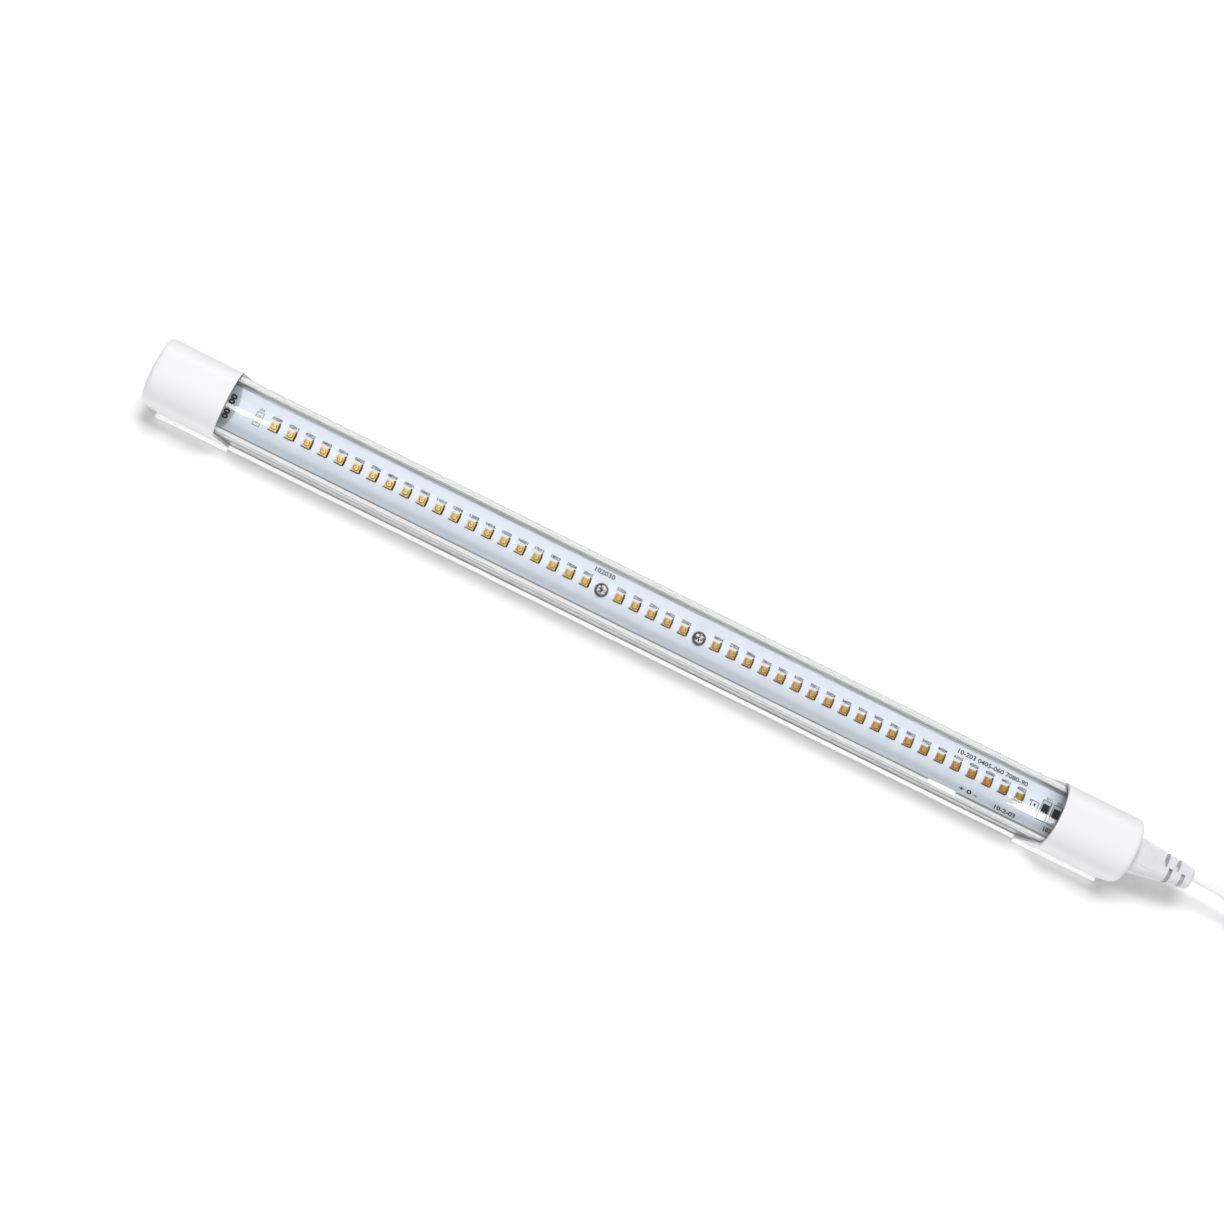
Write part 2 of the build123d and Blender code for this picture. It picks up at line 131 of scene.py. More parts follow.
def coil_turns(start_angle, end_turn, step):
    """Points (x, y, z) where the angle a grows evenly, and the radius r(a) and height h(a)
    hold still between moves and pass from one place to the next along 3u^2 - 2u^3."""
    angle = np.arange(0.0, end_turn, step)
    inner, middle, outer = MIDDLE_RADIUS + CORD * np.array([-1.0, 0.0, 1.0])
    # (angle where the move starts, radius after it, height after it)
    moves = [
        (310, middle, LAYERS[0]), (670, inner, LAYERS[0]), (980, inner, LAYERS[1]),
        (1290, middle, LAYERS[1]), (1650, outer, LAYERS[1]), (1960, outer, LAYERS[2]),
        (2270, middle, LAYERS[2]),
    ]
    radius = np.full_like(angle, outer)
    height = np.full_like(angle, LAYERS[0])
    for at, r, h in moves:
        u = np.clip((angle - at) / MOVE, 0.0, 1.0)
        u = u * u * (3.0 - 2.0 * u)
        radius += (r - radius) * u
        height += (h - height) * u
    # control points stand a little outside the round line that the spline draws
    radius /= 0.75 + 0.25 * math.cos(math.radians(step))
    a = np.radians(start_angle + angle)
    return np.column_stack([COIL_X + radius * np.cos(a), COIL_Y + radius * np.sin(a), height])


turns = coil_turns(start_angle=-125.0, end_turn=2448.0, step=15.0)
route = np.vstack([lead_in, turns, lead_out])
print("route points", len(route), "of them in the coil", len(turns))

# %% The cord as a NURBS curve
cord_curve = bpy.data.curves.new("power_cord", "CURVE")
cord_curve.dimensions = "3D"
spline = cord_curve.splines.new("NURBS")
spline.points.add(len(route) - 1)
spline.points.foreach_set("co", np.column_stack([route, np.ones(len(route))]).ravel())
spline.order_u = 3
spline.use_endpoint_u = True
spline.resolution_u = 4
# the points' radius carries the cord's, so that the curve's box is no larger than the cord
cord_curve.bevel_depth = 1.0
spline.points.foreach_set("radius", np.full(len(route), CORD / 2))
cord_curve.bevel_resolution = 5
cord_curve.use_fill_caps = True
power_cord = bpy.data.objects.new("power_cord", cord_curve)
bpy.context.scene.collection.objects.link(power_cord)
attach(power_cord, "power_lead")
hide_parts("cord_lead", "cord_coil", "cord_tail")
print("cord diameter", round(CORD / MM, 2), "mm")


# %% [markdown]
# ## Shared effects
# Plastics, paint and metals here share three small effects: a moulded grain that catches the
# light, a mottle that keeps a colour from being dead even, and a film of dust in flecks.
# Each is a node group, so every material places the same effect with its own values. A few
# short helpers come first, so that a node tree reads like the formula that it stands for.

# %% Helpers for node trees
def new_group(name, inputs, outputs):
    """An empty shader group with (name, kind, default) sockets, and its two end nodes."""
    group = bpy.data.node_groups.new(name, "ShaderNodeTree")
    for label, kind, default in inputs:
        socket = group.interface.new_socket(label, in_out="INPUT", socket_type=kind)
        socket.default_value = default
    for label, kind in outputs:
        group.interface.new_socket(label, in_out="OUTPUT", socket_type=kind)
    return group, group.nodes.new("NodeGroupInput"), group.nodes.new("NodeGroupOutput")


def add(tree, kind, links=(), **settings):
    """A node with its properties, number or colour inputs, and (input, source socket) links."""
    node = tree.nodes.new(kind)
    for key, value in settings.items():
        if key.startswith("in_"):
            node.inputs[int(key[3:])].default_value = value
        else:
            setattr(node, key, value)
    for index, source in links:
        tree.links.new(source, node.inputs[index])
    return node


def maths(tree, operation, *values):
    """The result of a Math node, where each value is a number or a socket."""
    node = add(tree, "ShaderNodeMath", operation=operation)
    for index, value in enumerate(values):
        if isinstance(value, float):
            node.inputs[index].default_value = value
        else:
            tree.links.new(value, node.inputs[index])
    return node.outputs[0]


FLOAT, COLOR = "NodeSocketFloat", "NodeSocketColor"


# %% Helpers for places and colours
def object_point(tree):
    """The Object coordinates of the surface."""
    return add(tree, "ShaderNodeTexCoord").outputs["Object"]


def axes_of(tree, point):
    """The X, Y and Z of a point."""
    return add(tree, "ShaderNodeSeparateXYZ", [(0, point)]).outputs


def ramp(tree, source, span, ends=(0.0, 1.0)):
    """A value that goes straight from ends[0] to ends[1] while source crosses the span."""
    return add(tree, "ShaderNodeMapRange", [(0, source)], in_1=span[0], in_2=span[1],
               in_3=ends[0], in_4=ends[1]).outputs[0]


def blended(tree, share, first, second):
    """Color = first + (second - first) x share."""
    return add(tree, "ShaderNodeMix", [(0, share)], data_type="RGBA",
               in_6=(*first, 1), in_7=(*second, 1)).outputs[2]


def dimmed(tree, color, factor):
    """Color = color x factor."""
    return add(tree, "ShaderNodeVectorMath", [(0, color), (3, factor)],
               operation="SCALE").outputs[0]


print("node helpers ready")


# %% The moulded grain
def make_grain():
    """Height = fine noise + a third of a coarser noise; Mask = the coarse noise alone."""
    group, start, end = new_group(
        "moulded_grain",
        [("Scale", FLOAT, 2500.0), ("Coarse Scale", FLOAT, 90.0)],
        [("Height", FLOAT), ("Mask", FLOAT)],
    )
    where = object_point(group)
    fine = add(group, "ShaderNodeTexNoise", [(0, where), (2, start.outputs["Scale"])], in_3=2.0)
    coarse = add(group, "ShaderNodeTexNoise",
                 [(0, where), (2, start.outputs["Coarse Scale"])], in_3=3.0)
    third = maths(group, "MULTIPLY", coarse.outputs[0], 0.33)
    total = maths(group, "ADD", fine.outputs[0], third)
    group.links.new(total, end.inputs["Height"])
    group.links.new(coarse.outputs[0], end.inputs["Mask"])
    return group


grain_group = make_grain()
print("group", grain_group.name)


# %% The mottle
def make_mottle():
    """Color = Color x (1 - Amount x noise), so the colour is never dead even."""
    group, start, end = new_group(
        "soft_mottle",
        [("Color", COLOR, (1, 1, 1, 1)), ("Scale", FLOAT, 60.0), ("Amount", FLOAT, 0.04)],
        [("Color", COLOR)],
    )
    noise = add(group, "ShaderNodeTexNoise",
                [(0, object_point(group)), (2, start.outputs["Scale"])], in_3=4.0)
    part = maths(group, "MULTIPLY", noise.outputs[0], start.outputs["Amount"])
    color = dimmed(group, start.outputs["Color"], maths(group, "SUBTRACT", 1.0, part))
    group.links.new(color, end.inputs["Color"])
    return group


mottle_group = make_mottle()
print("group", mottle_group.name)


# %% The dust
FLECK_NOISE = (0.68, 0.76)
DUST_GREY = (0.5, 0.5, 0.5, 1)


def make_dust():
    """Mask = Amount where a noise rises through FLECK_NOISE; Color turns grey by the mask."""
    group, start, end = new_group(
        "dust_flecks",
        [("Color", COLOR, (1, 1, 1, 1)), ("Scale", FLOAT, 700.0), ("Amount", FLOAT, 0.1)],
        [("Color", COLOR), ("Mask", FLOAT)],
    )
    noise = add(group, "ShaderNodeTexNoise",
                [(0, object_point(group)), (2, start.outputs["Scale"])], in_3=1.0)
    flecks = ramp(group, noise.outputs[0], FLECK_NOISE)
    mask = maths(group, "MULTIPLY", flecks, start.outputs["Amount"])
    grey = add(group, "ShaderNodeMix", [(0, mask), (6, start.outputs["Color"])],
               data_type="RGBA", in_7=DUST_GREY)
    group.links.new(grey.outputs[2], end.inputs["Color"])
    group.links.new(mask, end.inputs["Mask"])
    return group


dust_group = make_dust()
print("group", dust_group.name)


# %% [markdown]
# ## The plain finishes
# Most solids are one stuff: satin moulded plastic, soft cord, matt seal, plated or turned
# metal. They are built alike and differ in colour, roughness, grain and dust, so one maker
# places the three effects and each finish gives its own values.

# %% A finish from the shared effects
def new_material(name):
    """A material with nodes, its tree and its main shader."""
    material = bpy.data.materials.new(name)
    material.use_nodes = True
    tree = material.node_tree
    return material, tree, tree.nodes["Principled BSDF"]


def place(tree, group, **values):
    """A node of a group with its inputs set; an underscore stands for a space."""
    node = tree.nodes.new("ShaderNodeGroup")
    node.node_tree = group
    for key, value in values.items():
        node.inputs[key.replace("_", " ")].default_value = value
    return node


def add_wear(tree, shader, color, mottle, dust=0.0, scale=60.0, dust_scale=700.0):
    """Base Color = dust(mottle(color)), where color is three numbers or a socket."""
    worn = place(tree, mottle_group, Scale=scale, Amount=mottle)
    if isinstance(color, tuple):
        worn.inputs["Color"].default_value = (*color, 1.0)
    else:
        tree.links.new(color, worn.inputs["Color"])
    if dust:
        dusty = place(tree, dust_group, Scale=dust_scale, Amount=dust)
        tree.links.new(worn.outputs["Color"], dusty.inputs["Color"])
        worn = dusty
    tree.links.new(worn.outputs["Color"], shader.inputs["Base Color"])


def add_grain(tree, shader, scale, depth, low, high, coarse=90.0):
    """Grain into Normal, and its coarse mask into Roughness between low and high."""
    grain = place(tree, grain_group, Scale=scale, Coarse_Scale=coarse)
    bump = add(tree, "ShaderNodeBump", [(2, grain.outputs["Height"])], in_0=0.6)
    bump.inputs["Distance"].default_value = depth
    tree.links.new(bump.outputs[0], shader.inputs["Normal"])
    rough = ramp(tree, grain.outputs["Mask"], (0.3, 0.7), (low, high))
    tree.links.new(rough, shader.inputs["Roughness"])


def finish(name, color, rough, metallic=0.0, grain=2500.0, depth=0.00002, mottle=0.05,
           mottle_scale=60.0, dust=0.08):
    """Base Color = dust(mottle(color)); Roughness and Normal from the grain."""
    material, tree, shader = new_material(name)
    add_wear(tree, shader, color, mottle, dust, scale=mottle_scale)
    shader.inputs["Metallic"].default_value = metallic
    add_grain(tree, shader, grain, depth, rough - 0.05, rough + 0.07)
    material.diffuse_color = (*color, 1.0)
    return material


# %% Finishes of the solids
finishes = {
    "white_plug": finish("satin_white_plug", (0.62, 0.62, 0.65), 0.48, mottle=0.03),
    "white_cord": finish("soft_white_cord", (0.80, 0.80, 0.81), 0.45, mottle=0.03,
                         grain=1500.0, depth=0.00003),
    "seal": finish("grey_seal", (0.42, 0.43, 0.46), 0.6),
    "bar": finish("mill_aluminium", (0.70, 0.71, 0.73), 0.35, metallic=1.0),
    "resistor": finish("black_resistor", (0.022, 0.022, 0.026), 0.35, mottle=0.3, dust=0.03),
    "tin": finish("solder_tin", (0.80, 0.79, 0.76), 0.3, metallic=0.3, mottle=0.25,
                  mottle_scale=700.0, depth=0.00005, grain=1200.0),
    "capacitor": finish("tan_ceramic", (0.62, 0.52, 0.38), 0.5),
    "socket": finish("white_socket", (0.70, 0.70, 0.72), 0.35),
    "contact": finish("plated_contact", (0.80, 0.60, 0.28), 0.25, metallic=1.0),
    "wire_red": finish("red_wire", (0.55, 0.02, 0.02), 0.4),
    "wire_black": finish("black_wire", (0.02, 0.02, 0.022), 0.4),
    "tie": finish("hook_and_loop", (0.03, 0.03, 0.034), 0.8, grain=900.0, depth=0.0002),
    "barrel": finish("nickel_barrel", (0.75, 0.74, 0.72), 0.18, metallic=1.0),
    "core": finish("black_core", (0.02, 0.02, 0.02), 0.5),
}
print("plain finishes", len(finishes))

# %% [markdown]
# ## The caps
# The caps are satin white plastic, and painted shade greys the back flank. Their foot plates
# lie low and stick out at both sides, where painted light makes them whiter, so the colour is
# mixed along the height.

# %% Satin cap with painted light on the feet and painted shade on the back flank
# Painted light whitens the feet below this height, and painted shade greys the back flank.
FOOT_LIGHT_FADE = (2.2 * MM, 4.5 * MM)
FOOT_PAINTED_LIGHT, SHELL_WHITE = (0.93, 0.93, 0.94), (0.72, 0.715, 0.735)
FLANK_SHADE_FADE = (8.5 * MM, 15.5 * MM)
FLANK_PAINTED_SHADE = 0.68


def cap_plastic():
    """Color = (painted foot light + (shell white - painted foot light) x height share) x painted
    back flank shade(y).
    """
    material, tree, shader = new_material("satin_white_cap")
    axes = axes_of(tree, object_point(tree))
    tone = blended(tree, ramp(tree, axes["Z"], FOOT_LIGHT_FADE), FOOT_PAINTED_LIGHT, SHELL_WHITE)
    shaded_shell = dimmed(tree, tone, ramp(tree, axes["Y"], FLANK_SHADE_FADE, (1.0, FLANK_PAINTED_SHADE)))
    add_wear(tree, shader, shaded_shell, 0.02, dust=0.05)
    add_grain(tree, shader, 2500.0, 0.00002, 0.37, 0.49)
    return material


finishes["white_cap"] = cap_plastic()
print("feet fade over", FOOT_LIGHT_FADE)

# %% [markdown]
# ## The screws
# Diodes and screws share one row of evenly spaced places. The screw heads are bright, and
# the light and the dark of the room in their small hollows are painted reflections: a noise
# with a steep edge between dark and bright paints them in blotches, and a painted shade rings
# the foot of each head.

# %% Places along the row
PLACES, MIDDLE_PLACE = 47, 23
SCREW_PLACES = (20, 26)
ROW_PITCH = 8.0 * MM
ROW_SHIFT = 1.0 * MM
SCREW_GAP = 0.3 * MM


def place_x(places):
    """x = shift + pitch x (place - middle), and a small gap further from the first screw."""
    places = np.asarray(places)
    gap = SCREW_GAP * np.sign(places - SCREW_PLACES[0])
    return ROW_SHIFT + ROW_PITCH * (places - MIDDLE_PLACE) + gap


screw_x = place_x(SCREW_PLACES)
print("screws at", np.round(screw_x / MM, 2), "mm")

# %% Steel with painted reflections and painted shade
# The blotches between dark and bright are painted reflections; past this radius painted shade
# darkens the head.
HEAD_RIM = (1.8 * MM, 2.3 * MM)
STEEL_PAINTED_DARK, STEEL_PAINTED_BRIGHT = (0.03, 0.026, 0.022), (1.0, 0.98, 0.95)


def steel_painted_reflections():
    """Color = painted dark + (painted bright - painted dark) x steep noise x painted rim
    shade(distance from the screw's axis).
    """
    material, tree, shader = new_material("steel_painted_reflections")
    where = object_point(tree)
    axes = axes_of(tree, where)
    # both screws fold onto one: |x - middle| - half the distance between them
    off = maths(tree, "SUBTRACT", axes["X"], float(screw_x.mean()))
    near = maths(tree, "SUBTRACT", maths(tree, "ABSOLUTE", off), float(np.ptp(screw_x)) / 2)
    flat = add(tree, "ShaderNodeCombineXYZ", [(0, near), (1, axes["Y"])])
    away = add(tree, "ShaderNodeVectorMath", [(0, flat.outputs[0])], operation="LENGTH")
    head = ramp(tree, away.outputs["Value"], HEAD_RIM, (1.0, 0.12))
    noise = add(tree, "ShaderNodeTexNoise", [(0, where)], in_2=950.0, in_3=1.0)
    steep = ramp(tree, noise.outputs[0], (0.40, 0.54), (0.06, 1.0))
    tone = blended(tree, maths(tree, "MULTIPLY", steep, head), STEEL_PAINTED_DARK, STEEL_PAINTED_BRIGHT)
    tree.links.new(tone, shader.inputs["Base Color"])
    shader.inputs["Metallic"].default_value = 0.15
    add_grain(tree, shader, 1500.0, 0.00003, 0.2, 0.3)
    return material


finishes["steel_screw"] = steel_painted_reflections()
print("head darkens over", HEAD_RIM)

# %% [markdown]
# ## The clear tube
# The tube is extruded clear plastic. Glass on the shader gives it its bends and its glints,
# but would also throw a hard grey shadow on the board inside, so shadow rays pass through a
# transparent shader instead, and the lamps reach the board. Towards the back the wall bends
# darker surroundings into view and looks grey, so painted shade halves its colour there.

# %% Clear plastic
BACK_WALL = (12.4 * MM, 12.8 * MM)
CLEAR, SHADOW_CLEAR = (0.985, 0.99, 0.995), (0.90, 0.90, 0.905, 1)
CLEAR_IOR = 1.46


def clear_plastic():
    """Color = clear x painted shade of the back wall(y), mottled; shadow rays go through a
    transparent shader.
    """
    material, tree, shader = new_material("clear_tube_plastic")
    axes = axes_of(tree, object_point(tree))
    # painted shade: the colour is halved on the back wall
    back_wall_shade = ramp(tree, axes["Y"], BACK_WALL, (1.0, 0.5))
    shaded_walls = add(tree, "ShaderNodeVectorMath", [(3, back_wall_shade)], operation="SCALE", in_0=CLEAR)
    add_wear(tree, shader, shaded_walls.outputs[0], 0.015, scale=25.0)
    shader.inputs["Transmission Weight"].default_value = 1.0
    shader.inputs["IOR"].default_value = CLEAR_IOR
    add_grain(tree, shader, 400.0, 0.000002, 0.01, 0.03, coarse=20.0)
    through = add(tree, "ShaderNodeBsdfTransparent", in_0=SHADOW_CLEAR)
    path = add(tree, "ShaderNodeLightPath")
    mix = add(tree, "ShaderNodeMixShader",
              [(0, path.outputs["Is Shadow Ray"]), (1, shader.outputs[0]), (2, through.outputs[0])])
    tree.links.new(mix.outputs[0], tree.nodes["Material Output"].inputs["Surface"])
    return material


finishes["clear_plastic"] = clear_plastic()
print("back wall from", BACK_WALL)

# %% [markdown]
# ## The board
# The board wears a bluish white solder mask over copper. The copper shows as a faint step
# along both sides of the row and as a seam between one diode and the next. Painted shade
# darkens the mask towards the front edge, and greys it where the rims of the caps shade it,
# along a curve at the left. All of it hangs on Object coordinates.

# %% Copper under the mask
COPPER_BACK, COPPER_FRONT = 4.9 * MM, -6.3 * MM
COPPER_BLUR = 1.5e-6
SEAM = (0.1 * MM, 0.25 * MM)


def copper_lines(tree, axes):
    """1.03 - 0.05 x (off the copper, or on a seam): the sign of (y - back)(y - front) tells
    on from off, and x folded over each pitch is near nought at a seam."""
    back_gap = maths(tree, "SUBTRACT", axes["Y"], COPPER_BACK)
    front_gap = maths(tree, "SUBTRACT", axes["Y"], COPPER_FRONT)
    off = ramp(tree, maths(tree, "MULTIPLY", back_gap, front_gap), (-COPPER_BLUR, COPPER_BLUR))
    seam = ramp(tree, maths(tree, "PINGPONG", axes["X"], ROW_PITCH / 2), SEAM, (1.0, 0.0))
    on_seam = maths(tree, "MULTIPLY", seam, maths(tree, "SUBTRACT", 1.0, off))
    return maths(tree, "MULTIPLY_ADD", maths(tree, "ADD", on_seam, off), -0.05, 1.03)


print("copper is", round((COPPER_BACK - COPPER_FRONT) / MM, 1), "mm wide")

# %% Shade under the rims of the caps
LEFT_SHADE, LEFT_BLUR = -201.2 * MM, 0.4 * MM
RIGHT_SHADE = (195.5 * MM, 204.5 * MM)
BOW = 20.0  # of the left curve, for each metre


def end_shade(tree, axes):
    """0.56 left of the curve x + bow x y^2 = LEFT_SHADE, and down to 0.7 over RIGHT_SHADE."""
    square = maths(tree, "MULTIPLY", axes["Y"], axes["Y"])
    bowed = maths(tree, "MULTIPLY_ADD", square, BOW, axes["X"])
    left_end = ramp(tree, bowed, (LEFT_SHADE - LEFT_BLUR, LEFT_SHADE + LEFT_BLUR), (0.56, 1.0))
    right_end = ramp(tree, axes["X"], RIGHT_SHADE, (1.0, 0.7))
    return maths(tree, "MULTIPLY", left_end, right_end)


print("shade at the left ends at", round(LEFT_SHADE / MM, 1), "mm")

# %% Solder mask
# Painted shade: the mask turns grey towards the front edge.
FRONT_SHADE_FADE = (-10.5 * MM, 1.0 * MM)
MASK_PAINTED_SHADE, MASK_WHITE = (0.48, 0.53, 0.59), (0.78, 0.84, 0.91)


def board_mask():
    """Color = (painted front shade + (white - painted front shade) x share of y over the front fade)
    x copper lines x painted end shade.
    """
    material, tree, shader = new_material("white_solder_mask")
    axes = axes_of(tree, object_point(tree))
    tone = blended(tree, ramp(tree, axes["Y"], FRONT_SHADE_FADE), MASK_PAINTED_SHADE, MASK_WHITE)
    kept = maths(tree, "MULTIPLY", copper_lines(tree, axes), end_shade(tree, axes))
    add_wear(tree, shader, dimmed(tree, tone, kept), 0.07, dust=0.12, scale=140.0,
             dust_scale=900.0)
    add_grain(tree, shader, 1800.0, 0.00001, 0.28, 0.4)
    return material


finishes["board"] = board_mask()
print("finishes", len(finishes))

# %% [markdown]
# ## The diodes
# The packages are gold plated, with yellow silicone over the chip. Painted light makes them
# pale yellow at the left end of the row and a deeper orange at the right, mixed along X.

# %% Gold with painted light, paler at the left end of the row
ROW_ENDS = (-190.0 * MM, 190.0 * MM)


def gold_with_painted_light(name, left, right, rough):
    """Color = left + (right - left) x share of x over ROW_ENDS, mottled; the paler left is painted
    light.
    """
    material, tree, shader = new_material(name)
    axes = axes_of(tree, object_point(tree))
    tone = blended(tree, ramp(tree, axes["X"], ROW_ENDS), left, right)
    add_wear(tree, shader, tone, 0.12, scale=500.0)
    add_grain(tree, shader, 3000.0, 0.00001, rough, rough + 0.12)
    return material


finishes["led_ceramic"] = gold_with_painted_light("gold_package", (0.98, 0.63, 0.16), (0.46, 0.20, 0.025), 0.4)
finishes["led_window"] = gold_with_painted_light("yellow_silicone", (1.0, 0.78, 0.33), (0.62, 0.31, 0.05), 0.25)
finishes["led_chip"] = gold_with_painted_light("diode_chip", (0.95, 0.82, 0.5), (0.85, 0.55, 0.22), 0.3)
print("finishes", len(finishes))

# %% Dress the solids of the frame
slot_of = {p["node"]: p["material_slot"] for p in frame["record"]["subparts"]}
for name, node in nodes.items():
    for holder in node.material_slots:
        holder.material = finishes[slot_of[name]]
power_cord.data.materials.append(finishes["white_cord"])
print("dressed", len(nodes))


# %% [markdown]
# ## New pieces as arrays
# The small pieces on the board repeat dozens of times. One shape is worked out as an array
# of points, copied to every place by broadcasting, and put into a single mesh.

# %% Put arrays into a mesh
def make_piece(name, points, faces, slot, material):
    """points is (n, 3) in metres; faces is a list of index arrays, one row for each face."""
    mesh = bpy.data.meshes.new(name)
    mesh.from_pydata(points.tolist(), [], [row for block in faces for row in block.tolist()])
    mesh.validate()
    mesh.materials.append(material)
    obj = bpy.data.objects.new(name, mesh)
    bpy.context.scene.collection.objects.link(obj)
    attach(obj, "light")
    print(name, "faces", len(mesh.polygons))
    return obj


def repeat_at(shape, faces, places):
    """Copies shape (n, 3) to every place (m, 3), with its faces counted on by n each time."""
    points = (places[:, None, :] + shape[None, :, :]).reshape(-1, 3)
    count = np.arange(len(places)) * len(shape)
    return points, [(f[None] + count[:, None, None]).reshape(-1, f.shape[1]) for f in faces]


def joined(parts):
    """One (points, faces) from several, each one's faces counted on past the points before."""
    starts = np.cumsum([0] + [len(points) for points, _ in parts])
    faces = [block + start for (_, blocks), start in zip(parts, starts) for block in blocks]
    return np.vstack([points for points, _ in parts]), faces


def swept_faces(rows, columns, ring=False):
    """Quads of a closed profile of `columns` points carried through `rows` places, with end
    faces, or joined last to first where it is a ring."""
    r, c = np.meshgrid(np.arange(rows if ring else rows - 1), np.arange(columns), indexing="ij")
    r, c = r.ravel(), c.ravel()
    n, m = (r + 1) % rows, (c + 1) % columns
    quads = np.column_stack([r * columns + c, r * columns + m, n * columns + m, n * columns + c])
    if ring:
        return [quads]
    first = np.arange(columns)[::-1][None]
    return [quads, first, (np.arange(columns) + (rows - 1) * columns)[None]]


# %% Places of the diodes and of the two screws
def on_axis(x):
    """Places (x, 0, 0) on the middle line of the row."""
    return np.column_stack([x, np.zeros_like(x), np.zeros_like(x)])


led_x = place_x([k for k in range(PLACES) if k not in SCREW_PLACES])
led_places = on_axis(led_x)
board_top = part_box("led_board")[1].z
print("diodes", len(led_places), "board top", round(board_top / MM, 2))

# %% [markdown]
# ## The ring in each window
# A dark ring with a gap shows round each chip, and a smaller hook inside it. Each is a small
# flat section carried round part of a circle, and stands a hair above the window.

# %% Rings on the diodes
brown = finish("burnt_brown", (0.030, 0.014, 0.008), 0.5, mottle=0.3, dust=0.0)
ARC_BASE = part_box("led_windows")[1].z + 0.01 * MM
ARC_HEIGHT = 0.05 * MM
ARC_STEPS = 18


def arc_shape(radius, width, start, sweep):
    """Point(i, j) = centre line of an arc of `sweep` degrees, plus corner j of its section."""
    a = np.radians(start + np.linspace(0.0, sweep, ARC_STEPS))
    section = np.array([(-0.5, 0.0), (0.5, 0.0), (0.5, 1.0), (-0.5, 1.0)]) * (width, ARC_HEIGHT)
    r = radius + section[None, :, 0]
    z = np.broadcast_to(ARC_BASE + section[None, :, 1], (ARC_STEPS, 4))
    return np.stack([r * np.cos(a)[:, None], r * np.sin(a)[:, None], z], axis=2).reshape(-1, 3)


ring = arc_shape(1.18 * MM, 0.30 * MM, 120.0, 300.0)
hook = arc_shape(0.24 * MM, 0.28 * MM, 60.0, 200.0)
points, faces = joined([repeat_at(arc, swept_faces(ARC_STEPS, 4), led_places)
                        for arc in (ring, hook)])
make_piece("diode_rings", points, faces, "led_chip", brown)

# %% [markdown]
# ## Dark flanks of the diodes
# On its right side and along the front each package has a dark flank, a low wedge between
# its wall and the board. One wedge is a triangle carried along the side.

# %% Dark flanks
PACKAGE_HALF = 1.75 * MM
WALL = PACKAGE_HALF + 0.01 * MM  # a hair outside the package


def wedge(foot, height, y0, y1):
    """A triangle section, high at the wall and nothing at its foot, carried from y0 to y1."""
    section = np.array([(WALL, board_top), (PACKAGE_HALF + foot, board_top),
                        (WALL, board_top + height)])
    ends = np.array([y1, y0])
    grid = np.empty((2, 3, 3))
    grid[:, :, 0] = section[None, :, 0]
    grid[:, :, 1] = ends[:, None]
    grid[:, :, 2] = section[None, :, 1]
    return grid.reshape(-1, 3)


side = wedge(0.85 * MM, 0.85 * MM, -1.8 * MM, PACKAGE_HALF)
front = wedge(0.3 * MM, 0.7 * MM, -PACKAGE_HALF, PACKAGE_HALF)
# a quarter turn: (x, y) becomes (y, -x)
front = np.column_stack([front[:, 1], -front[:, 0], front[:, 2]])
points, faces = joined([repeat_at(flank, swept_faces(2, 3), led_places)
                        for flank in (side, front)])
make_piece("diode_flanks", points, faces, "led_ceramic", brown)

# %% [markdown]
# ## Washers under the screws
# Under each screw's head lies a grey toothed washer, which shows as a rim round the head. The
# profile of the rim is turned about the screw's axis.

# %% Toothed washers
def turned(profile, steps, teeth=0, depth=0.0):
    """Point(i, j) = (r_j cos a_i, r_j sin a_i, z_j), r of the outer rows rippled by teeth."""
    a = np.linspace(0.0, 2 * math.pi, steps, endpoint=False)
    r, z = profile[:, 0], profile[:, 1]
    ripple = 1.0 + depth * np.cos(teeth * a)[:, None] * (r > r.mean())[None, :]
    radius = r[None, :] * ripple
    grid = np.stack([radius * np.cos(a)[:, None], radius * np.sin(a)[:, None],
                     np.broadcast_to(z, radius.shape)], axis=2)
    return grid.reshape(-1, 3)


WASHER_STEPS = 72
WASHER_HOLE, WASHER_EDGE, WASHER_TOP_EDGE = 2.0 * MM, 3.25 * MM, 3.15 * MM
washer_low, washer_high = board_top + 0.01 * MM, board_top + 0.2 * MM
washer_grey = finish("grey_washer", (0.36, 0.37, 0.39), 0.35, metallic=0.2, mottle=0.3)
washer_profile = np.array([(WASHER_HOLE, washer_low), (WASHER_EDGE, washer_low),
                           (WASHER_TOP_EDGE, washer_high), (WASHER_HOLE, washer_high)])
washer = turned(washer_profile, WASHER_STEPS, teeth=18, depth=0.025)
points, faces = repeat_at(washer, swept_faces(WASHER_STEPS, 4, ring=True), on_axis(screw_x))
make_piece("screw_washers", points, faces, "steel_screw", washer_grey)

# %% [markdown]
# ## Printing on the board
# The board is printed in black: a short number over every diode, a corner mark and a dot for
# its polarity, boxes round the small parts at the ends, and a few lines of figures along the
# edges. Bars and dots come from arrays. The figures come from Blender's own font, made a
# mesh, and are plain digits that say nothing.

# %% Printed bars
ink = finish("black_print", (0.012, 0.013, 0.016), 0.55, mottle=0.35, mottle_scale=800.0, dust=0.0)
INK_LOW = board_top + 0.004 * MM
INK_HIGH = INK_LOW + 0.03 * MM


